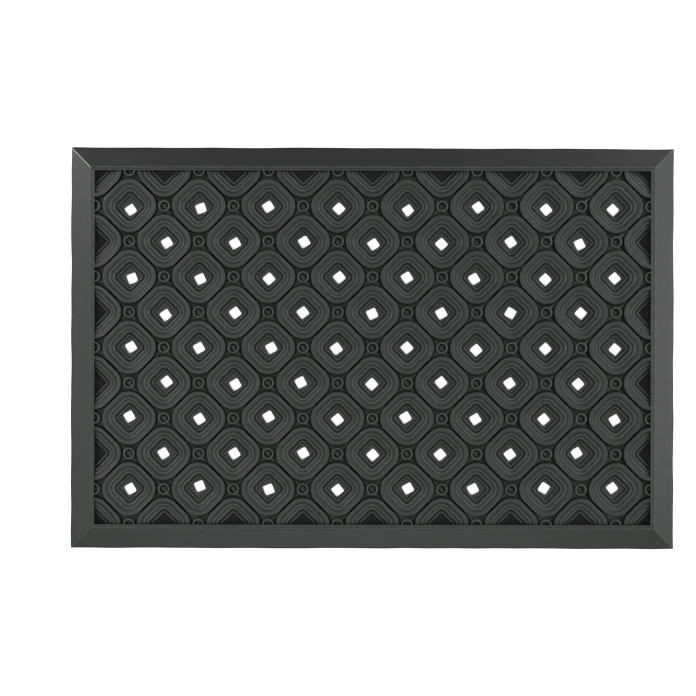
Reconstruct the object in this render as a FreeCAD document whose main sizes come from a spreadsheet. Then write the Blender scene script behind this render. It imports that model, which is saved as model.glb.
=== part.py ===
import FreeCAD, Part
import math
import os
import random
import Sketcher

# Rubber scraper mat with drainage, 600 x 400 mm.
# A thin punched carrier sheet holds rows of terraced cells, which are rounded squares
# standing on one corner, and a small ring on a raised web in each gap between them.
# Four bevelled edging strips, mitred at the corners, frame the field and clasp the
# sheet's margin. Cells, rings and webs that meet the recess wall are cut off by it.
# Origin: middle of the underside. +X along the length, +Y to the back, +Z up.

Vector = FreeCAD.Vector
Rotation = FreeCAD.Rotation
Placement = FreeCAD.Placement
UP = Vector(0, 0, 1)

doc = FreeCAD.newDocument("door_mat")

# --- Sizes -------------------------------------------------------------------------

DRIVING = [
    ("mat_length", 600.0, "overall length, along X"),
    ("mat_width", 400.0, "overall width, along Y"),
    ("border_width", 25.0, "edging, from the outer edge to the recess wall"),
    ("ledge_width", 4.0, "flat top of the edging, next to the recess"),
    ("ledge_rib", 1.2, "rib each side of the groove in the ledge"),
    ("ledge_groove", 0.4, "depth of the groove in the ledge"),
    ("lip_height", 2.0, "edging at its outer edge"),
    ("margin_tuck", 10.0, "sheet's margin under the edging"),
    ("sheet_thickness", 3.0, "carrier sheet"),
    ("hole_side", 9.9, "side of a drain hole"),
    ("hole_corner", 1.6, "corner radius of a drain hole"),
    ("hole_drift", -0.9, "mean offset of the drain holes along Y"),
    ("hole_wander", 1.1, "how far a hand-fed punch strays from a cell's middle"),
    ("long_row_cells", 8.0, "whole cells in a long row"),
    ("long_rows", 5.0, "long rows, with a short row between two of them"),
    ("groove_width", 1.7, "groove between neighbouring cells"),
    ("cell_corner", 16.5, "corner radius of a cell's outline"),
    ("shoulder", 0.8, "chamfer round a cell's rim"),
    ("rim_width", 3.9, "cell's outer wall to the top of the first slope"),
    ("slope_1", 1.8, "run of the first slope, from the rim down"),
    ("tread_1", 1.7, "width of the first terrace"),
    ("slope_2", 2.4, "run of the second slope"),
    ("tread_2", 1.5, "width of the second terrace"),
    ("slope_3", 2.3, "run of the third slope"),
    ("tread_3", 1.4, "width of the third terrace"),
    ("slope_4", 0.8, "run of the last slope, down to the sheet"),
    ("drop_1", 1.6, "rim down to the first terrace"),
    ("drop_2", 1.9, "first terrace down to the second"),
    ("drop_3", 1.3, "second terrace down to the third"),
    ("drop_4", 1.2, "third terrace down to the sheet"),
    ("web_height", 2.5, "web in a gap between cells, above the sheet"),
    ("web_clearance", 0.1, "web to the cell walls round it"),
    ("ring_gap", 1.9, "ring to the nearest cell"),
    ("ring_wall", 1.95, "wall of a ring"),
    ("least_corner", 0.3, "sharpest inner corner that the mould has"),
]
DERIVED = [
    ("rim_height", "=sheet_thickness + drop_4 + drop_3 + drop_2 + drop_1",
     "cells, rings and ledge above the ground"),
    ("recess_length", "=mat_length - 2 * border_width", "recess inside the edging, along X"),
    ("recess_width", "=mat_width - 2 * border_width", "recess inside the edging, along Y"),
    ("pitch_x", "=recess_length / long_row_cells", "from cell to cell in a row"),
    ("pitch_y", "=recess_width / long_rows", "from long row to long row"),
    ("cell_half", "=((pitch_x + pitch_y) / 2 / sqrt(2) - groove_width) / 2",
     "cell's middle to its side"),
    ("corner_centre", "=(cell_half - cell_corner) * sqrt(2)",
     "cell's middle to the centre of a corner's arc"),
    ("ring_outer", "=min(pitch_x; pitch_y) / 2 - corner_centre - cell_corner - ring_gap",
     "outer radius of a ring"),
    ("ring_inner", "=ring_outer - ring_wall", "inner radius of a ring"),
]

sheet = doc.addObject("Spreadsheet::Sheet", "mat")
for number, (name, value, meaning) in enumerate(DRIVING + DERIVED, start=1):
    sheet.set(f"A{number}", meaning)
    sheet.set(f"B{number}", str(value))
    sheet.setAlias(f"B{number}", name)
doc.recompute()


def value_of(formula):
    """The number that a formula on the sheet's cells gives."""
    return float(sheet.evalExpression(formula))


# --- Helpers for every sub-part -----------------------------------------------------

SUB_PARTS = []
ON_ITS_CORNER = 45.0
ORIGIN = (-1, 1)
AXES = {"x": -1, "y": -2}


def new_body(label):
    """A body that may hold several separate solids."""
    body = doc.addObject("PartDesign::Body", label)
    body.Label = label
    body.AllowCompound = True
    return body


def place(sub_part, x, y, turn=0.0):
    """Puts a sub-part at two formulas on the ground, turned about +Z."""
    sub_part.Placement = Placement(Vector(0, 0, 0), Rotation(UP, turn))
    sub_part.setExpression("Placement.Base.x", x)
    sub_part.setExpression("Placement.Base.y", y)


def datum(body, role):
    """One of the body's own origin planes or axes."""
    return [item for item in body.Origin.OriginFeatures if item.Role == role][0]


def new_sketch(body, level="0", plane="XY_Plane", turn=0.0):
    """An empty sketch on a plane of the body, raised to a level and turned."""
    sketch = body.newObject("Sketcher::SketchObject", "Sketch")
    sketch.AttachmentSupport = [(datum(body, plane), "")]
    sketch.MapMode = "FlatFace"
    sketch.AttachmentOffset = Placement(Vector(0, 0, 0), Rotation(UP, turn))
    sketch.setExpression("AttachmentOffset.Base.z", level)
    return sketch


def constrain(sketch, kind, *where):
    sketch.addConstraint(Sketcher.Constraint(kind, *where))


def dimension(sketch, kind, formula, *where):
    """A dimension of the sketch that follows the sheet."""
    number = sketch.addConstraint(Sketcher.Constraint(kind, *where, value_of(formula)))
    sketch.setExpression(f"Constraints[{number}]", formula)


def pad(body, sketch, length, run=None):
    """Raises a sketch by a length; its sides come in by a run on the way up."""
    feature = body.newObject("PartDesign::Pad", "Pad")
    feature.Profile = sketch
    feature.setExpression("Length", length)
    if run:
        feature.setExpression("TaperAngle", f"-atan(({run}) / ({length}))")
    return feature


def pocket(body, sketch, depth=None, run=None):
    """Cuts a sketch down to a depth, or right through; its sides come in by a run."""
    feature = body.newObject("PartDesign::Pocket", "Pocket")
    feature.Profile = sketch
    if depth:
        feature.setExpression("Length", depth)
    else:
        feature.Type = "ThroughAll"
    if run:
        feature.setExpression("TaperAngle", f"-atan(({run}) / ({depth}))")
    return feature


def repeat(body, features, pitch, count):
    """Copies features along the body's X at a pitch, to a count of solids."""
    pattern = body.newObject("PartDesign::LinearPattern", "LinearPattern")
    pattern.Originals = features
    pattern.Direction = (datum(body, "X_Axis"), [""])
    pattern.Occurrences = count
    pattern.setExpression("Length", f"{pitch} * {count - 1}")
    body.Tip = pattern


def outline(sketch, corners):
    """A closed outline with straight sides, through pairs of formulas."""
    points = [Vector(value_of(x), value_of(y), 0) for x, y in corners]
    for side, point in enumerate(points):
        sketch.addGeometry(Part.LineSegment(point, points[(side + 1) % len(points)]))
    for side in range(len(points)):
        constrain(sketch, "Coincident", side, 2, (side + 1) % len(points), 1)
    for side, (x, y) in enumerate(corners):
        for kind, across, formula in (("DistanceX", "y", x), ("DistanceY", "x", y)):
            if formula == "0":
                constrain(sketch, "PointOnObject", side, 1, AXES[across])
            else:
                dimension(sketch, kind, formula, *ORIGIN, side, 1)


def rounded_square(sketch, half, radius):
    """A square about the sketch's origin with rounded corners, from two formulas."""
    reach = value_of(half)
    bend = value_of(radius)
    flat = reach - bend
    for turn in range(4):
        spin = Rotation(UP, 90.0 * turn)
        ends = [spin.multVec(Vector(reach, way * flat, 0)) for way in (-1, 1)]
        circle = Part.Circle(spin.multVec(Vector(flat, flat, 0)), UP, bend)
        first = math.pi / 2 * turn
        sketch.addGeometry(Part.LineSegment(*ends))
        sketch.addGeometry(Part.ArcOfCircle(circle, first, first + math.pi / 2))
    for side in range(8):
        constrain(sketch, "Tangent", side, 2, (side + 1) % 8, 1)
    constrain(sketch, "Vertical", 0)
    constrain(sketch, "Horizontal", 2)
    for corner in (3, 5, 7):
        constrain(sketch, "Equal", 1, corner)
    constrain(sketch, "Symmetric", 1, 3, 5, 3, *ORIGIN)
    dimension(sketch, "Radius", radius, 1)
    dimension(sketch, "DistanceX", half, *ORIGIN, 0, 2)
    dimension(sketch, "DistanceY", half, *ORIGIN, 2, 1)


def trim_at_wall(body, sides):
    """Cuts off what stands beyond the body's own X axis, or beyond its Y axis too."""
    far = "mat.recess_length"
    beyond = {"y": [("-" + far, "0"), (far, "0"), (far, far), ("-" + far, far)],
              "x": [("0", "-" + far), (far, "-" + far), (far, far), ("0", far)]}
    for side in sides:
        sketch = new_sketch(body, "mat.rim_height")
        outline(sketch, beyond[side])
        pocket(body, sketch)


# --- Carrier sheet -----------------------------------------------------------------
# A flat sheet whose margin lies in the rebate of the edging. Every whole cell drains
# through a square hole, punched by hand-fed tooling: each hole strays a little from
# its cell's middle, and the holes are turned further clockwise towards the left end.

SEED = 445
TWIST_MIDDLE = 10.5
TWIST_PER_HALF = -6.5
TWIST_SPREAD = 7.0

long_count = int(value_of("mat.long_row_cells"))
row_count = 2 * int(value_of("mat.long_rows")) - 1
recess_reach = value_of("mat.recess_length / 2")


def punched(label, blank):
    """A sub-part made by punching the drain holes through a blank."""
    blank.Label = label + "_blank"
    cut = doc.addObject("Part::Cut", label)
    cut.Label = label
    cut.Base = blank
    cut.Tool = punch
    SUB_PARTS.append(cut)


def cells_in(row):
    """Whole cells in a row; rows are counted from 1, at the back."""
    return long_count if row % 2 else long_count - 1


def row_level(row):
    """Formula for a row's place along Y."""
    return f"mat.pitch_y / 2 * {(row_count + 1) / 2 - row}"


def first_of(count, pitch):
    """Formula for the first place of a centred run."""
    return f"-{pitch} / 2 * {count - 1}"


def drain_hole(x, y, twist):
    """What the punch takes out: a square prism with rounded corners."""
    side = value_of("mat.hole_side")
    depth = value_of("mat.rim_height")
    slug = Part.makeBox(side, side, depth, Vector(-side / 2, -side / 2, 0))
    upright = [edge for edge in slug.Edges if abs(edge.tangentAt(0).z) > 0.5]
    slug = slug.makeFillet(value_of("mat.hole_corner"), upright)
    slug.Placement = Placement(Vector(x, y, 0), Rotation(UP, ON_ITS_CORNER - twist))
    return slug


chance = random.Random(SEED)
wander = value_of("mat.hole_wander")
slugs = []
for row in range(1, row_count + 1):
    first_x = value_of(first_of(cells_in(row), "mat.pitch_x"))
    middle_y = value_of(row_level(row)) + value_of("mat.hole_drift")
    for number in range(cells_in(row)):
        middle_x = first_x + number * value_of("mat.pitch_x")
        twist = chance.gauss(TWIST_MIDDLE + TWIST_PER_HALF * middle_x / recess_reach, TWIST_SPREAD)
        hole_x = chance.gauss(middle_x, wander)
        hole_y = chance.gauss(middle_y, wander)
        slugs.append(drain_hole(hole_x, hole_y, twist))

punch = doc.addObject("Part::Feature", "punch")
punch.Shape = Part.makeCompound(slugs)
blank = doc.addObject("Part::Box", "blank")
blank.setExpression("Length", "mat.recess_length + 2 * mat.margin_tuck")
blank.setExpression("Width", "mat.recess_width + 2 * mat.margin_tuck")
blank.setExpression("Height", "mat.sheet_thickness")
place(blank, "-mat.recess_length / 2 - mat.margin_tuck", "-mat.recess_width / 2 - mat.margin_tuck")
punched("base_sheet", blank)


# --- Edging ------------------------------------------------------------------------
# Four strips of one section: a long bevel from a thin lip up to a flat ledge with a
# shallow groove, an upright recess wall, and a rebate below that clasps the sheet.

EDGING_SECTION = [
    ("0", "0"),
    ("0", "mat.lip_height"),
    ("mat.border_width - mat.ledge_width", "mat.rim_height"),
    ("mat.border_width - mat.ledge_width + mat.ledge_rib", "mat.rim_height"),
    ("mat.border_width - mat.ledge_width + mat.ledge_rib", "mat.rim_height - mat.ledge_groove"),
    ("mat.border_width - mat.ledge_rib", "mat.rim_height - mat.ledge_groove"),
    ("mat.border_width - mat.ledge_rib", "mat.rim_height"),
    ("mat.border_width", "mat.rim_height"),
    ("mat.border_width", "mat.sheet_thickness"),
    ("mat.border_width - mat.margin_tuck", "mat.sheet_thickness"),
    ("mat.border_width - mat.margin_tuck", "0"),
]


def edging_strip(label, length, x, y, turn):
    """A strip along the body's X, its outer lip on that axis, with mitred ends."""
    body = new_body(label)
    section = new_sketch(body, plane="YZ_Plane")
    outline(section, EDGING_SECTION)
    strip = pad(body, section, length)
    strip.SideType = "Symmetric"
    mitre = new_sketch(body, "mat.rim_height")
    outline(mitre, [(f"{length} / 2", "0"),
                    (f"{length} / 2", "mat.border_width"),
                    (f"{length} / 2 - mat.border_width", "mat.border_width")])
    cut = pocket(body, mitre)
    mirrored = body.newObject("PartDesign::Mirrored", "Mirrored")
    mirrored.Originals = [cut]
    mirrored.MirrorPlane = (datum(body, "YZ_Plane"), [""])
    body.Tip = mirrored
    place(body, x, y, turn)
    SUB_PARTS.append(body)


edging_strip("edge_front", "mat.mat_length", "0", "-mat.mat_width / 2", 0.0)
edging_strip("edge_right", "mat.mat_width", "mat.mat_length / 2", "0", 90.0)
edging_strip("edge_back", "mat.mat_length", "0", "mat.mat_width / 2", 180.0)
edging_strip("edge_left", "mat.mat_width", "-mat.mat_length / 2", "0", 270.0)


# --- Cells -------------------------------------------------------------------------
# A cell is a rounded square on its corner with an open middle. Its wall has a
# chamfered rim and steps down inside over three terraces to the sheet.

FIRST_SLOPE = "mat.rim_width"
SECOND_SLOPE = f"{FIRST_SLOPE} + mat.slope_1 + mat.tread_1"
THIRD_SLOPE = f"{SECOND_SLOPE} + mat.slope_2 + mat.tread_2"
FOURTH_SLOPE = f"{THIRD_SLOPE} + mat.slope_3 + mat.tread_3"
TERRACES = [
    (FIRST_SLOPE, "mat.rim_height", "mat.drop_1", "mat.slope_1"),
    (SECOND_SLOPE, "mat.rim_height - mat.drop_1", "mat.drop_2", "mat.slope_2"),
    (THIRD_SLOPE, "mat.rim_height - mat.drop_1 - mat.drop_2", "mat.drop_3", "mat.slope_3"),
    (FOURTH_SLOPE, "mat.sheet_thickness + mat.drop_4", "mat.drop_4", "mat.slope_4"),
]


def cell(body):
    """The features of one cell about the body's origin."""
    wall = new_sketch(body, "mat.sheet_thickness", turn=ON_ITS_CORNER)
    rounded_square(wall, "mat.cell_half", "mat.cell_corner")
    chamfer = new_sketch(body, "mat.rim_height - mat.shoulder", turn=ON_ITS_CORNER)
    rounded_square(chamfer, "mat.cell_half", "mat.cell_corner")
    features = [pad(body, wall, "mat.rim_height - mat.shoulder - mat.sheet_thickness"),
                pad(body, chamfer, "mat.shoulder", "mat.shoulder")]
    for inset, level, drop, run in TERRACES:
        step = new_sketch(body, level, turn=ON_ITS_CORNER)
        corner = f"max(mat.cell_corner - ({inset}); {run} + mat.least_corner)"
        rounded_square(step, f"mat.cell_half - ({inset})", corner)
        features.append(pocket(body, step, drop, run))
    return features


# --- Rings -------------------------------------------------------------------------
# The gap between four cells is filled by a web, whose hollow sides follow the cells'
# rounded corners, and a ring stands on its middle.

def star(sketch, along, across):
    """The gap's outline: four arcs round the cells' corners, joined across the grooves."""
    bend = "mat.cell_corner + mat.web_clearance"
    for turn, reach in enumerate((along, across, along, across)):
        out = value_of(f"{reach} - mat.corner_centre")
        centre = Rotation(UP, 90.0 * turn).multVec(Vector(out, 0, 0))
        first = math.pi / 2 * turn + math.pi * 3 / 4
        circle = Part.Circle(centre, UP, value_of(bend))
        sketch.addGeometry(Part.ArcOfCircle(circle, first, first + math.pi / 2))
    for turn in range(4):
        ends = [(turn, 1), ((turn + 1) % 4, 2)]
        sketch.addGeometry(Part.LineSegment(*[sketch.getPoint(*end) for end in ends]))
        constrain(sketch, "Coincident", 4 + turn, 1, *ends[0])
        constrain(sketch, "Coincident", 4 + turn, 2, *ends[1])
    dimension(sketch, "Radius", bend, 0)
    for turn in (1, 2, 3):
        constrain(sketch, "Equal", 0, turn)
    for turn, reach in enumerate((along, across, along, across)):
        axis, out, chord = (("x", "DistanceX", "DistanceY"), ("y", "DistanceY", "DistanceX"))[turn % 2]
        constrain(sketch, "PointOnObject", turn, 3, AXES[axis])
        constrain(sketch, "Symmetric", turn, 1, turn, 2, AXES[axis])
        low_end, high_end = (2, 1) if turn in (0, 3) else (1, 2)
        dimension(sketch, chord, f"({bend}) * sqrt(2)", turn, low_end, turn, high_end)
        near, far = (ORIGIN, (turn, 3)) if turn < 2 else ((turn, 3), ORIGIN)
        dimension(sketch, out, f"{reach} - mat.corner_centre", *near, *far)


def ring(body, along, across):
    """The features of one web with its ring about the body's origin."""
    gap = new_sketch(body, "mat.sheet_thickness")
    star(gap, along, across)
    circles = new_sketch(body, "mat.sheet_thickness + mat.web_height")
    for number, radius in enumerate(("mat.ring_outer", "mat.ring_inner")):
        circles.addGeometry(Part.Circle(Vector(0, 0, 0), UP, value_of(radius)))
        constrain(circles, "Coincident", number, 3, *ORIGIN)
        dimension(circles, "Radius", radius, number)
    return [pad(body, gap, "mat.web_height"),
            pad(body, circles, "mat.rim_height - mat.sheet_thickness - mat.web_height")]


# --- Rows of the field -------------------------------------------------------------
# Long and short rows alternate. Where a row has no cell at its middle there is a ring.

for row in range(1, row_count + 1):
    cells = cells_in(row)
    rings = 2 * long_count - 1 - cells
    cell_row = new_body("cells")
    repeat(cell_row, cell(cell_row), "mat.pitch_x", cells)
    place(cell_row, first_of(cells, "mat.pitch_x"), row_level(row))
    punched(f"cell_row_{row}", cell_row)
    ring_row = new_body(f"ring_row_{row}")
    repeat(ring_row, ring(ring_row, "mat.pitch_x / 2", "mat.pitch_y / 2"), "mat.pitch_x", rings)
    place(ring_row, first_of(rings, "mat.pitch_x"), row_level(row))
    SUB_PARTS.append(ring_row)


# --- Cut cells and rings at the recess walls ---------------------------------------
# Each wall cuts its run of cells and rings in half, and a corner leaves a quarter of a
# cell. The cut cells aren't punched. A body's own +Y points at its wall.

WALLS = [
    ("back", 0.0, "x", "mat.recess_width"),
    ("right", -90.0, "y", "mat.recess_length"),
    ("front", 180.0, "x", "mat.recess_width"),
    ("left", 90.0, "y", "mat.recess_length"),
]
COUNTS = {"x": long_count, "y": int(value_of("mat.long_rows"))}


def place_at_wall(body, turn, run, wall_distance):
    """Puts a run's first solid on its wall, left of the middle as seen from inside."""
    radians = math.radians(turn)
    x = f"({run}) * {round(math.cos(radians))} - {wall_distance} / 2 * {round(math.sin(radians))}"
    y = f"({run}) * {round(math.sin(radians))} + {wall_distance} / 2 * {round(math.cos(radians))}"
    place(body, x, y, turn)
    SUB_PARTS.append(body)


for wall, turn, axis, wall_distance in WALLS:
    pitch = f"mat.pitch_{axis}"
    across = "mat.pitch_y" if axis == "x" else "mat.pitch_x"
    half_cells = new_body(f"half_cells_{wall}")
    repeat(half_cells, cell(half_cells), pitch, COUNTS[axis] - 1)
    trim_at_wall(half_cells, "y")
    place_at_wall(half_cells, turn, first_of(COUNTS[axis] - 1, pitch), wall_distance)
    half_rings = new_body(f"half_rings_{wall}")
    repeat(half_rings, ring(half_rings, f"{pitch} / 2", f"{across} / 2"), pitch, COUNTS[axis])
    trim_at_wall(half_rings, "y")
    place_at_wall(half_rings, turn, first_of(COUNTS[axis], pitch), wall_distance)

for corner, turn, side_x, side_y in (("back_right", 0.0, "", ""), ("back_left", 90.0, "-", ""),
                                     ("front_left", 180.0, "-", "-"), ("front_right", 270.0, "", "-")):
    corner_cell = new_body(f"corner_cell_{corner}")
    cell(corner_cell)
    trim_at_wall(corner_cell, "yx")
    place(corner_cell, f"{side_x}mat.recess_length / 2", f"{side_y}mat.recess_width / 2", turn)
    SUB_PARTS.append(corner_cell)


# --- Check and write ---------------------------------------------------------------

doc.recompute()
for item in doc.Objects:
    if "Invalid" in item.State or "Error" in item.State:
        raise RuntimeError(f"{item.Name} of {item.Label}: {item.State}")
os.makedirs("parts", exist_ok=True)
for sub_part in SUB_PARTS:
    if sub_part.Shape.isNull() or not sub_part.Shape.isValid():
        raise RuntimeError(f"{sub_part.Label} has no valid shape")
for sub_part in SUB_PARTS:
    sub_part.Shape.exportStep(f"parts/{sub_part.Label}.step")
    print(f"{sub_part.Label}: {len(sub_part.Shape.Solids)} solids, {sub_part.Shape.Volume:.0f} mm3")
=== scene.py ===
import math
import bmesh
import bpy
from mathutils import Matrix, Vector, noise


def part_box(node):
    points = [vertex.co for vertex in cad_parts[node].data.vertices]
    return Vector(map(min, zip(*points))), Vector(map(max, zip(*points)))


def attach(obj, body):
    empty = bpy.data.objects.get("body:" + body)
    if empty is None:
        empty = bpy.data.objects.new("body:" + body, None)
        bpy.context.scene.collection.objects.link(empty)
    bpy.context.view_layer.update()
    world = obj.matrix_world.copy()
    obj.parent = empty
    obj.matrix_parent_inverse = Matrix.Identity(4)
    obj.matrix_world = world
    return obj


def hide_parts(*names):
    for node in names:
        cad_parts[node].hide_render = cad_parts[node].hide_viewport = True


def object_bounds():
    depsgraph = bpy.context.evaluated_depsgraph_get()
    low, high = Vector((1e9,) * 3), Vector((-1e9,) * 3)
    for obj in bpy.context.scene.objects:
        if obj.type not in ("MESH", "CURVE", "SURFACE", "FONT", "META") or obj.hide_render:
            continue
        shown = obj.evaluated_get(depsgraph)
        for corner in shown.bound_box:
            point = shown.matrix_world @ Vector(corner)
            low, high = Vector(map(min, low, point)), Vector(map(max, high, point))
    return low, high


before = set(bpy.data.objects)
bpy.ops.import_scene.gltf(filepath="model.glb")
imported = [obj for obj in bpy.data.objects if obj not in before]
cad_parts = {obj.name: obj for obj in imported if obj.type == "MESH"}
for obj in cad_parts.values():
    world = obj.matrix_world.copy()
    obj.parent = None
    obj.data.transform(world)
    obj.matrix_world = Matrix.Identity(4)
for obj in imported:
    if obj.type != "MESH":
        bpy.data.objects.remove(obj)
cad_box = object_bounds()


# --- Camera, floor and light --------------------------------------------------------
# The mat lies on a white floor that glows a little. The camera hangs over a point left
# of its middle and looks straight down. Soft lamps stand above and round it, and two
# small low ones rake over the terraces from the back left and the back right.

CAMERA_PLACE = (-0.0242, -0.0003, 0.900)
CAMERA_ROLL = math.radians(0.12)
LENS = 46.66
FLOOR_REACH = 2.5
FLOOR_LEVEL = -0.0001
FLOOR_TONE = 0.86
FLOOR_GLOW = 0.45
SKY_STRENGTH = 0.32


def mesh_object(name, bm):
    """The finished bmesh as an object at the origin."""
    mesh = bpy.data.meshes.new(name)
    bm.to_mesh(mesh)
    bm.free()
    made = bpy.data.objects.new(name, mesh)
    bpy.context.scene.collection.objects.link(made)
    return made


def soft_light(name, place, size, power):
    """A square lamp that faces the middle of the mat."""
    lamp = bpy.data.lights.new(name, "AREA")
    lamp.shape = "SQUARE"
    lamp.size = size
    lamp.energy = power
    made = bpy.data.objects.new(name, lamp)
    made.location = place
    made.rotation_euler = (-Vector(place)).to_track_quat("-Z", "Y").to_euler()
    bpy.context.scene.collection.objects.link(made)


class Value:
    """A number on the nodes of a finish, for use in sums."""

    def __init__(self, finish, socket):
        self.finish = finish
        self.socket = socket

    def sum(self, operation, first, second):
        return self.finish.node("ShaderNodeMath", "Value", {"operation": operation},
                                {0: first, 1: second})

    def __add__(self, other):
        return self.sum("ADD", self, other)

    def __radd__(self, other):
        return self.sum("ADD", other, self)

    def __sub__(self, other):
        return self.sum("SUBTRACT", self, other)

    def __rsub__(self, other):
        return self.sum("SUBTRACT", other, self)

    def __mul__(self, other):
        return self.sum("MULTIPLY", self, other)

    def __rmul__(self, other):
        return self.sum("MULTIPLY", other, self)

    def __truediv__(self, other):
        return self.sum("DIVIDE", self, other)

    def __abs__(self):
        return self.sum("ABSOLUTE", self, 0)

    def fraction(self):
        return self.sum("FRACT", self, 0)

    def smallest(self, other):
        return self.sum("MINIMUM", self, other)

    def largest(self, other):
        return self.sum("MAXIMUM", self, other)


class Finish:
    """A material, built one node at a time."""

    def __init__(self, name):
        self.material = bpy.data.materials.new(name)
        self.material.use_nodes = True
        self.tree = self.material.node_tree
        self.tree.nodes.clear()

    def node(self, kind, output, settings, inputs):
        """Adds a node; settings come first, then values or links; gives one output."""
        made = self.tree.nodes.new(kind)
        for name, value in settings.items():
            if name == "stops":
                ramp = made.color_ramp
                while len(ramp.elements) < len(value):
                    ramp.elements.new(0.5)
                for element, (position, colour) in zip(ramp.elements, value):
                    element.position = position
                    element.color = (*colour, 1)
            else:
                setattr(made, name, value)
        for name, value in inputs.items():
            socket = self.find(made.inputs, name)
            if isinstance(value, Value):
                self.tree.links.new(value.socket, socket)
            else:
                socket.default_value = value
        return Value(self, self.find(made.outputs, output)) if output else made

    @staticmethod
    def find(sockets, name):
        if isinstance(name, int):
            return sockets[name]
        return [socket for socket in sockets if name in (socket.identifier, socket.name)][0]

    def mask(self, value, low, high):
        """0 below low, 1 above high, smooth between them."""
        return self.node("ShaderNodeMapRange", "Result", {"interpolation_type": "SMOOTHSTEP"},
                         {"Value": value, "From Min": low, "From Max": high})

    def grain(self, place, scale, detail=2.0, roughness=0.5):
        return self.node("ShaderNodeTexNoise", "Fac", {}, {"Vector": place, "Scale": scale,
                                                          "Detail": detail, "Roughness": roughness})


camera_data = bpy.data.cameras.new("camera")
camera_data.lens = LENS
camera_data.sensor_width = 36
camera_data.clip_start = 0.01
camera = bpy.data.objects.new("camera", camera_data)
camera.location = CAMERA_PLACE
camera.rotation_euler = (0, 0, CAMERA_ROLL)
bpy.context.scene.collection.objects.link(camera)
bpy.context.scene.camera = camera
bpy.context.scene.view_settings.view_transform = "Standard"

studio_white = Finish("studio_white")
floor_shader = studio_white.node("ShaderNodeBsdfPrincipled", "BSDF", {}, {
    "Base Color": (FLOOR_TONE, FLOOR_TONE, FLOOR_TONE, 1), "Roughness": 0.9,
    "Specular IOR Level": 0.0, "Emission Color": (1, 1, 1, 1), "Emission Strength": FLOOR_GLOW})
studio_white.node("ShaderNodeOutputMaterial", None, {}, {"Surface": floor_shader})
floor_mesh = bmesh.new()
bmesh.ops.create_grid(floor_mesh, x_segments=1, y_segments=1, size=FLOOR_REACH)
bmesh.ops.translate(floor_mesh, verts=floor_mesh.verts, vec=(0, 0, FLOOR_LEVEL))
floor = mesh_object("floor", floor_mesh)
floor.data.materials.append(studio_white.material)

# Direction in degrees (from +X towards +Y, then up), distance, size and power.
for name, around, up, away, size, power in (
        ("overhead", 0, 90, 2.2, 1.6, 7.5),
        ("front_bank", -90, 50, 2.0, 1.0, 13.0),
        ("left_bank", 180, 50, 2.0, 1.0, 17.0),
        ("right_low", 0, 25, 2.0, 0.8, 20.0),
        ("left_rake", 150, 12, 0.9, 0.15, 2.6),
        ("right_rake", 40, 15, 0.9, 0.15, 2.5)):
    level = away * math.cos(math.radians(up))
    soft_light(name, (level * math.cos(math.radians(around)), level * math.sin(math.radians(around)),
                      away * math.sin(math.radians(up))), size, power)
world = bpy.data.worlds.new("studio")
world.use_nodes = True
world.node_tree.nodes["Background"].inputs["Color"].default_value = (1, 1, 1, 1)
world.node_tree.nodes["Background"].inputs["Strength"].default_value = SKY_STRENGTH
bpy.context.scene.world = world


# --- Carrier sheet ------------------------------------------------------------------
# The thin rubber sheet that carries the pattern, punched once in every whole cell. It
# shows as the floor of the wells and down in the grooves, where painted shade makes it dark.

RECESS = Vector((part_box("edge_right")[0].x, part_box("edge_back")[0].y, 0))
COLUMNS = 8
ROWS = 5
PITCH = Vector((2 * RECESS.x / COLUMNS, 2 * RECESS.y / ROWS, 0))
# Heights between which painted shade on the moulding fades out: darkest below, none above.
PAINTED_SHADE_BELOW = 0.0032
FULL_TONE_ABOVE = 0.0042
# Distances from a recess wall within which painted shade darkens its corner.
WALL_SHADE = (0.0005, 0.0050)
SHEET_WALL_SHADE = (0.012, 0.018)


def moulded_painted_light(finish, place):
    """Pale painted highlights on lips and rims and painted shade in creases, as the mesh carries
    them.
    """
    x, y, height = [finish.node("ShaderNodeSeparateXYZ", axis, {}, {"Vector": place})
                    for axis in "XYZ"]
    wear = finish.node("ShaderNodeAttribute", "Fac", {"attribute_name": "wear"}, {})
    from_wall = (RECESS.x - abs(x)).smallest(RECESS.y - abs(y))
    # Painted shade: darker near the recess walls, and below that, darker low in grooves and wells.
    wall_shade = 0.5 + 0.5 * finish.mask(from_wall, *WALL_SHADE)
    return finish.mask(height, PAINTED_SHADE_BELOW, FULL_TONE_ABOVE) * (0.9 + wear) * wall_shade


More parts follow.
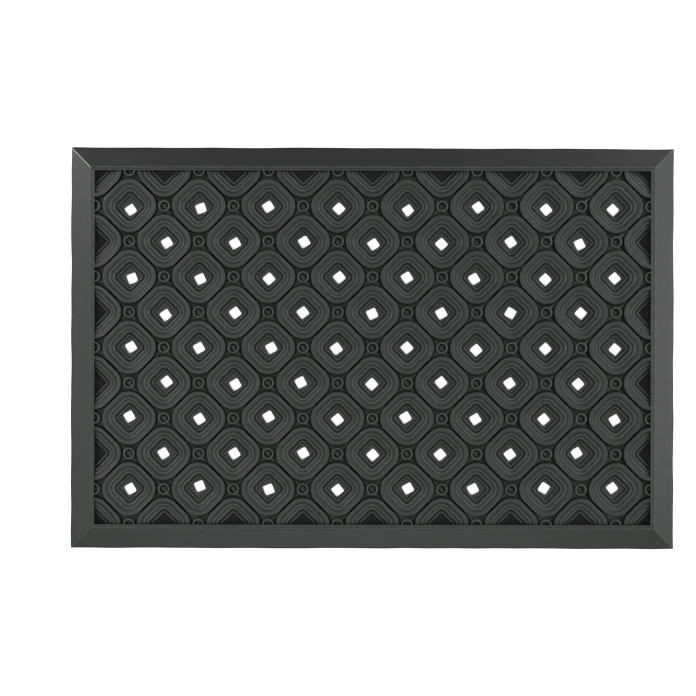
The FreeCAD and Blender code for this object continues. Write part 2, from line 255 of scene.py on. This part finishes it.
def rubber(name, tone, roughness, stretch=(1, 1, 1), painted_tone_where=moulded_painted_light):
    """Moulded black rubber: mottled, with painted highlights and shade; specks and scuffs fade in
    the shade.
    """
    finish = Finish(name)
    place = finish.node("ShaderNodeTexCoord", "Object", {}, {})
    drawn = finish.node("ShaderNodeMapping", "Vector", {}, {"Vector": place, "Scale": stretch})
    # The tone's painted highlights and painted shade, from the given function.
    painted_tone = painted_tone_where(finish, place)
    cloud = finish.grain(place, 14, 3)
    mottle = finish.grain(drawn, 160, 4, 0.6)
    pores = finish.grain(drawn, 1400, 2)
    specks = finish.mask(finish.grain(place, 620, 1), 0.68, 0.78)
    scuffs = finish.mask(finish.grain(drawn, 90, 5, 0.65), 0.60, 0.80)
    shade = tone * (0.10 + 0.90 * painted_tone) * (0.60 + 0.22 * cloud + 0.30 * mottle + 0.30 * pores)
    shade = shade + (0.35 * specks + 0.10 * scuffs) * painted_tone
    colour = finish.node("ShaderNodeValToRGB", "Color", {"stops": [
        (0.0, (0.0, 0.0, 0.0)), (1.0, (0.480, 0.540, 0.488))]}, {"Fac": shade * 0.2})
    rough = roughness + 0.10 * (mottle - 0.5) + 0.15 * scuffs + 0.25 * (1 - painted_tone.smallest(1))
    relief = 0.55 * pores + 0.45 * mottle
    bump = finish.node("ShaderNodeBump", "Normal", {}, {
        "Height": relief, "Strength": 0.35, "Distance": 0.0002})
    shader = finish.node("ShaderNodeBsdfPrincipled", "BSDF", {}, {
        "Base Color": colour, "Roughness": rough, "Normal": bump, "Specular IOR Level": 0.35})
    finish.node("ShaderNodeOutputMaterial", None, {}, {"Surface": shader})
    return finish.material


def well_floors(finish, place):
    """1 on the floor of each punched well, 0 where painted shade darkens the grooves and recess
    walls.
    """
    axes = [finish.node("ShaderNodeSeparateXYZ", axis, {}, {"Vector": place}) for axis in "XY"]
    across, along = [axis / pitch for axis, pitch in zip(axes, PITCH)]
    from_middle = [abs(way.fraction() - 0.5) for way in (across + along, across - along)]
    furthest = from_middle[0].largest(from_middle[1])
    inland = [1 - finish.mask(abs(axis), reach - SHEET_WALL_SHADE[1], reach - SHEET_WALL_SHADE[0])
              for axis, reach in zip(axes, RECESS)]
    return (1 - finish.mask(furthest, 0.20, 0.30)) * inland[0] * inland[1]


sheet_rubber = rubber("sheet_rubber", 0.19, 0.62, painted_tone_where=well_floors)
base_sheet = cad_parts["base_sheet"]
base_sheet.data.materials.clear()
base_sheet.data.materials.append(sheet_rubber)


# Without a seed the noise differs from run to run.
CREEP_SEED = 445
noise.seed_set(CREEP_SEED)


def creep(point):
    """How far the moulded rubber has shrunk and crept away from its mould's shape."""
    slow = noise.noise_vector(point * 38)
    quick = noise.noise_vector(point * 170 + Vector((3, 7, 1)))
    return Vector((slow.x * 0.22 + quick.x * 0.10, slow.y * 0.22 + quick.y * 0.10,
                   slow.z * 0.05 + quick.z * 0.05)) * 0.001


def stands_for(name, bm, material):
    """Makes a finished piece of the mat, in place of the CAD node of the same name."""
    bmesh.ops.recalc_face_normals(bm, faces=bm.faces)
    for face in bm.faces:
        face.smooth = True
    piece = mesh_object(name, bm)
    piece.data.materials.append(material)
    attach(piece, "root")
    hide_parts(name)


# --- Edging -------------------------------------------------------------------------
# Four bevelled rubber strips frame the field. Each rises from a thin, slightly wavy lip
# to a flat ledge with a shallow groove, and its mitred ends carry a line of flash.

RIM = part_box("edge_front")[1].z
SHEET_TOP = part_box("base_sheet")[1].z
HALF_LENGTH = cad_box[1][0]
HALF_WIDTH = cad_box[1][1]
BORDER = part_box("edge_left")[1].x + HALF_LENGTH
SHEET_EDGE = HALF_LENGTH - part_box("base_sheet")[1].x
LIP = 0.0020
LEDGE = BORDER - 0.0040
# Place across the strip from its lip, height, and how far the corner there is rounded.
STRIP_SECTION = [
    (0.0, 0.0, 0.0),
    (0.0, LIP, 0.0007),
    (LEDGE - 0.0004, RIM - 0.00045, 0.0002),
    (LEDGE + 0.0001, RIM - 0.00005, 0.00025),
    (LEDGE + 0.0009, RIM, 0.0003),
    (LEDGE + 0.0014, RIM - 0.0004, 0.0002),
    (LEDGE + 0.0024, RIM - 0.0004, 0.0002),
    (LEDGE + 0.0030, RIM, 0.0003),
    (BORDER, RIM, 0.0005),
    (BORDER, SHEET_TOP, 0.0),
    (SHEET_EDGE, SHEET_TOP, 0.0),
    (SHEET_EDGE, 0.0, 0.0),
]
FLASH_HALF = 0.0003
STATIONS = 150
BEVEL_CUTS = 5
BACK_SHRINK = 0.0011
WAVE_REACH = 0.004
WAVE_HEIGHT = 0.0006


def edging_painted_light(finish, place):
    """Painted shade at the outer lip and on the back strip; painted highlights on ribs and flash."""
    x, y, z = [finish.node("ShaderNodeSeparateXYZ", axis, {}, {"Vector": place})
               for axis in "XYZ"]
    in_x = HALF_LENGTH - abs(x)
    in_y = HALF_WIDTH - abs(y) - BACK_SHRINK * finish.mask(y, 0.0, 0.001)
    inward = in_x.smallest(in_y)
    off_mitre = in_x - in_y
    inner_edge = HALF_WIDTH - BORDER
    outer = 1 - finish.mask(inward, 0.0007, 0.0017)
    back = finish.mask(y, inner_edge, inner_edge + 0.001) * finish.mask(off_mitre, -0.0001, 0.0001)
    ribs = finish.mask(z, RIM - 0.0004, RIM - 0.0001)
    mitre = ((1 - finish.mask(abs(off_mitre), FLASH_HALF, 2 * FLASH_HALF))
             * (1 - finish.mask(inward, LEDGE - 0.001, LEDGE)))
    # The flash's painted highlight is strongest at the back left corner.
    nearest = finish.mask(y - x, 0.3, 0.4)
    return (0.86 - 0.42 * back * (1 - ribs) + (0.50 + 0.15 * back) * ribs
            - (0.50 + 0.20 * back) * outer + (1.8 + 13.0 * nearest) * mitre)


edging_rubber = rubber("edging_rubber", 0.21, 0.50, (0.35, 1, 1), edging_painted_light)


def station_share(step, reach):
    """Where a station lies along the strip, from 0 to 1, closer together at the mitres."""
    near = min(step, STATIONS - step)
    share = near * reach
    if near > 2:
        share = 2 * reach + (near - 2) * (0.5 - 2 * reach) / (STATIONS / 2 - 2)
    return share if step == near else 1 - share


def strip_outline(bm):
    """The strip's section as a closed loop of edges, its long bevel divided for creep."""
    corners = [bm.verts.new((0, across, height)) for across, height, _ in STRIP_SECTION]
    bm.faces.new(corners)
    for corner, (_, _, rounding) in zip(corners, STRIP_SECTION):
        if rounding:
            bmesh.ops.bevel(bm, geom=[corner], offset=rounding, segments=3, profile=0.5,
                            affect="VERTICES", material=-1)
    long_bevel = max(bm.edges, key=bmesh.types.BMEdge.calc_length)
    bmesh.ops.subdivide_edges(bm, edges=[long_bevel], cuts=BEVEL_CUTS)
    bmesh.ops.delete(bm, geom=bm.faces[:], context="FACES_ONLY")
    return bm.edges[:]


def edging_strip(name, length, turn, out, flash):
    """Makes a strip along a side of the mat, turned about the middle and moved out to its edge."""
    bm = bmesh.new()
    bmesh.ops.spin(bm, geom=strip_outline(bm), cent=(0, 0, 0), axis=(1, 0, 0), angle=0,
                   dvec=(1 / STATIONS, 0, 0), steps=STATIONS, use_merge=False)
    bmesh.ops.holes_fill(bm, edges=bm.edges, sides=0)
    for vert in bm.verts:
        share = station_share(round(vert.co.x * STATIONS), FLASH_HALF / length)
        across = vert.co.y
        if share in (0, 1) and vert.co.z > LIP / 2 and across < LEDGE:
            vert.co.z += flash[share > 0.5]
        vert.co.x = (length / 2 - across) * (2 * share - 1)
    bmesh.ops.translate(bm, verts=bm.verts, vec=(0, -out, 0))
    bmesh.ops.rotate(bm, verts=bm.verts, cent=(0, 0, 0), matrix=Matrix.Rotation(turn, 3, "Z"))
    for vert in bm.verts:
        from_edge = min(HALF_LENGTH - abs(vert.co.x), HALF_WIDTH - abs(vert.co.y))
        slack = max(0.0, 1 - from_edge / WAVE_REACH)
        ripple = noise.noise_vector(vert.co * 30) * WAVE_HEIGHT * slack
        shrink = BACK_SHRINK * (1 + vert.co.x) * max(0.0, 1 - (HALF_WIDTH - vert.co.y) / LEDGE)
        vert.co += Vector((ripple.x, ripple.y - shrink, 0))
        if vert.co.z > SHEET_TOP:
            vert.co += creep(vert.co) * 0.5
    stands_for(name, bm, edging_rubber)


for name, length, quarter, out, flash in (
        ("edge_front", 2 * HALF_LENGTH, 0, HALF_WIDTH, (0.00012, 0.00008)),
        ("edge_right", 2 * HALF_WIDTH, 1, HALF_LENGTH, (0.00008, 0.00012)),
        ("edge_back", 2 * HALF_LENGTH, 2, HALF_WIDTH, (0.00012, 0.00030)),
        ("edge_left", 2 * HALF_WIDTH, 3, HALF_LENGTH, (0.00030, 0.00012))):
    edging_strip(name, length, math.pi / 2 * quarter, out, flash)


# --- Cells --------------------------------------------------------------------------
# A cell is a rounded square standing on its corner. Its smooth rim falls in soft steps
# over three terraces, each with a raised lip, to the punched floor. Rows are moulded in
# one with the sheet, a groove apart.

GROOVE = 0.0017
CELL_HALF = ((PITCH.x + PITCH.y) / 2 / math.sqrt(2) - GROOVE) / 2
CELL_CORNER = 0.0165
CORNER_STEPS = 8
# Distance in from the cell's side, depth below the rim and rounding, in millimetres, and
# painted light: above 0 a painted highlight on a lip or rim, below 0 painted shade in a crease.
CELL_SECTION = [
    (0.00, 6.00, 0.00, -0.8),
    (0.00, 0.55, 0.30, -0.4),
    (0.50, 0.00, 0.30, 0.1),
    (1.10, -0.04, 0.30, 0.2),
    (2.20, 0.04, 0.50, 0.0),
    (3.70, 0.10, 0.60, -0.1),
    (5.60, 1.75, 0.40, -0.6),
    (6.95, 1.20, 0.15, 0.6),
    (7.65, 1.25, 0.15, 1.1),
    (8.90, 3.10, 0.30, -0.6),
    (10.45, 2.60, 0.15, 0.6),
    (11.15, 2.68, 0.15, 1.1),
    (12.60, 5.00, 0.12, -0.8),
    (13.30, 5.15, 0.12, -0.9),
    (14.30, 4.20, 0.20, 0.4),
    (15.10, 4.25, 0.20, 0.8),
    (16.30, 6.00, 0.00, -0.2),
]

cell_rubber = rubber("cell_rubber", 0.21, 0.50)


def rounded_square(bm, half, corner, level, wear):
    """A closed loop of edges round a square on its corner, with its painted light; gives the edges.
    """
    made = bmesh.ops.create_grid(bm, x_segments=1, y_segments=1, size=half)["verts"]
    bmesh.ops.rotate(bm, verts=made, cent=(0, 0, 0), matrix=Matrix.Rotation(math.pi / 4, 3, "Z"))
    bmesh.ops.translate(bm, verts=made, vec=(0, 0, level))
    bevelled = bmesh.ops.bevel(bm, geom=made, offset=corner, segments=CORNER_STEPS, profile=0.5,
                               affect="VERTICES", material=-1)
    face = bevelled["verts"][0].link_faces[0]
    loop = face.edges[:]
    for vert in face.verts:
        vert[bm.verts.layers.float["wear"]] = wear
    bmesh.ops.delete(bm, geom=[face], context="FACES_ONLY")
    return loop


def whole_cell():
    """One cell about the origin."""
    bm = bmesh.new()
    bm.verts.layers.float.new("wear")
    loops = []
    for inset, depth, _, wear in CELL_SECTION:
        corner = max(CELL_CORNER - inset * 0.001, 0.0004)
        level = RIM - depth * 0.001
        loops.append(rounded_square(bm, CELL_HALF - inset * 0.001, corner, level, wear))
    for outer, inner in zip(loops, loops[1:] + loops[:1]):
        bmesh.ops.bridge_loops(bm, edges=outer + inner)
    for loop, (_, _, rounding, _) in zip(loops, CELL_SECTION):
        if rounding:
            bmesh.ops.bevel(bm, geom=loop, offset=rounding * 0.001, segments=2, profile=0.5,
                            affect="EDGES", material=-1)
    return bm


def add_copy(bm, pattern, place):
    """Adds a copy of a pattern mesh at a place."""
    before = len(bm.verts)
    bm.from_mesh(pattern)
    bm.verts.ensure_lookup_table()
    bmesh.ops.translate(bm, verts=bm.verts[before:], vec=place)


def pattern_mesh(name, bm):
    mesh = bpy.data.meshes.new(name)
    bm.to_mesh(mesh)
    bm.free()
    return mesh


def run_of(pattern, places):
    """A mesh with a copy of a pattern at each place, crept like the rest of the mat."""
    bm = bmesh.new()
    for place in places:
        add_copy(bm, pattern, place)
    for vert in bm.verts:
        if vert.co.z > SHEET_TOP + 0.0001:
            vert.co += creep(vert.co)
    return bm


def row_places(row, count):
    """The middles of the cells or the gaps in a row; row 1 is at the back."""
    level = (ROWS - row) * PITCH.y / 2
    return [Vector(((number - (count - 1) / 2) * PITCH.x, level, 0)) for number in range(count)]


cell_pattern = pattern_mesh("cell_pattern", whole_cell())
for row in range(1, 2 * ROWS):
    places = row_places(row, COLUMNS if row % 2 else COLUMNS - 1)
    stands_for(f"cell_row_{row}", run_of(cell_pattern, places), cell_rubber)


# --- Rings --------------------------------------------------------------------------
# A web fills the gap between four cells below their rims, and a ring with a rounded
# top stands on its middle, round a shallow dish.

WEB_TOP = SHEET_TOP + 0.0025
WEB_CLEARANCE = 0.0001
CORNER_CENTRE = (CELL_HALF - CELL_CORNER) * math.sqrt(2)
RING_OUTER = min(PITCH.x, PITCH.y) / 2 - CORNER_CENTRE - CELL_CORNER - 0.0018
RING_WALL = 0.00195
RING_STEPS = 40
# The ring's tone is lighter than the cells' as painted light on the web that lies in shade.
ring_rubber = rubber("ring_rubber", 0.25, 0.50)


def gap_web(bm):
    """The web: four arcs round the cells' corners, joined across the grooves."""
    bend = CELL_CORNER + WEB_CLEARANCE
    ends = []
    for quarter, half_pitch in enumerate((PITCH.x / 2, PITCH.y / 2) * 2):
        facing = Matrix.Rotation(math.pi / 2 * quarter, 3, "Z")
        centre = facing @ Vector((half_pitch - CORNER_CENTRE, 0, 0))
        first = centre + facing @ Matrix.Rotation(math.pi * 3 / 4, 3, "Z") @ Vector((bend, 0, 0))
        start = bm.verts.new(first)
        arc = bmesh.ops.spin(bm, geom=[start], cent=centre, axis=(0, 0, 1), angle=math.pi / 2,
                             steps=10, use_merge=False)["geom_last"]
        ends.append((start, arc[0]))
    for quarter in range(4):
        bm.edges.new((ends[quarter][0], ends[(quarter + 1) % 4][1]))
    bmesh.ops.contextual_create(bm, geom=bm.edges[:])
    bmesh.ops.translate(bm, verts=bm.verts, vec=(0, 0, SHEET_TOP))
    raised = bmesh.ops.extrude_face_region(bm, geom=bm.faces[:], use_keep_orig=True)["geom"]
    verts = [item for item in raised if isinstance(item, bmesh.types.BMVert)]
    bmesh.ops.translate(bm, verts=verts, vec=(0, 0, WEB_TOP - SHEET_TOP))


def ring(bm):
    """The ring: a section spun round the gap's middle, with its dish."""
    inner = RING_OUTER - RING_WALL
    painted_light_layer = bm.verts.layers.float.new("wear")
    # Out, height and painted light: highlight on the ring's top, shade in the dish and at its foot.
    section = [(0.0, WEB_TOP + 0.0003, -0.1), (inner * 0.4, WEB_TOP + 0.0002, -0.1),
               (inner * 0.7, WEB_TOP - 0.0005, -0.3), (inner - 0.0001, WEB_TOP - 0.0006, -0.5),
               (inner + 0.0001, RIM - 0.0005, 0.0), (inner + 0.0005, RIM, 0.6),
               (RING_OUTER - 0.0005, RIM, 0.6), (RING_OUTER - 0.0001, RIM - 0.0005, 0.0),
               (RING_OUTER + 0.0001, WEB_TOP, -0.3), (RING_OUTER + 0.0001, WEB_TOP - 0.0009, 0.0),
               (0.0, WEB_TOP - 0.0009, 0.0)]
    verts = [bm.verts.new((out, 0, level)) for out, level, _ in section]
    for vert, (_, _, wear) in zip(verts, section):
        vert[painted_light_layer] = wear
    edges = [bm.edges.new(pair) for pair in zip(verts, verts[1:])]
    bmesh.ops.spin(bm, geom=edges, cent=(0, 0, 0), axis=(0, 0, 1), angle=math.tau,
                   steps=RING_STEPS, use_merge=True)
    bmesh.ops.remove_doubles(bm, verts=bm.verts, dist=0.00001)


def web_with_ring():
    """The web in one gap about the origin, with its ring."""
    bm = bmesh.new()
    bm.verts.layers.float.new("wear")
    gap_web(bm)
    standing = bmesh.new()
    ring(standing)
    spun = pattern_mesh("spun_ring", standing)
    bm.from_mesh(spun)
    return bm


ring_pattern = pattern_mesh("ring_pattern", web_with_ring())
for row in range(1, 2 * ROWS):
    places = row_places(row, COLUMNS - 1 if row % 2 else COLUMNS)
    stands_for(f"ring_row_{row}", run_of(ring_pattern, places), ring_rubber)


# --- Cut cells and rings at the recess walls ----------------------------------------
# The recess cuts the outermost cells and rings in half, and its corners leave a quarter
# of a cell. The mould closes them at the wall, and they aren't punched.

def cut_run(name, pattern, places, walls, material):
    """Makes a run of copies cut off at one or two walls of the recess."""
    bm = bmesh.new()
    for place in places:
        add_copy(bm, pattern, place)
    for outward in walls:
        point = Vector((outward.x * RECESS.x, outward.y * RECESS.y, 0))
        cut = bmesh.ops.bisect_plane(bm, geom=bm.verts[:] + bm.edges[:] + bm.faces[:], dist=1e-7,
                                     plane_co=point, plane_no=outward, clear_outer=True)["geom_cut"]
        edges = [item for item in cut if isinstance(item, bmesh.types.BMEdge)]
        bmesh.ops.holes_fill(bm, edges=[edge for edge in edges if edge.is_boundary], sides=0)
    for vert in bm.verts:
        if vert.co.z > SHEET_TOP + 0.0001:
            vert.co += creep(vert.co)
    stands_for(name, bm, material)


for wall, outward in (("back", Vector((0, 1, 0))), ("right", Vector((1, 0, 0))),
                      ("front", Vector((0, -1, 0))), ("left", Vector((-1, 0, 0)))):
    along = Vector((abs(outward.y), abs(outward.x), 0))
    pitch = along.dot(PITCH)
    wall_place = Vector((outward.x * RECESS.x, outward.y * RECESS.y, 0))
    gaps = COLUMNS if along.x else ROWS
    for kind, pattern, count, material in (("cells", cell_pattern, gaps - 1, cell_rubber),
                                           ("rings", ring_pattern, gaps, ring_rubber)):
        places = [wall_place + along * (number - (count - 1) / 2) * pitch for number in range(count)]
        cut_run(f"half_{kind}_{wall}", pattern, places, [outward], material)

for corner, side_x, side_y in (("back_right", 1, 1), ("back_left", -1, 1),
                               ("front_left", -1, -1), ("front_right", 1, -1)):
    place = Vector((side_x * RECESS.x, side_y * RECESS.y, 0))
    cut_run(f"corner_cell_{corner}", cell_pattern, [place],
            [Vector((side_x, 0, 0)), Vector((0, side_y, 0))], cell_rubber)
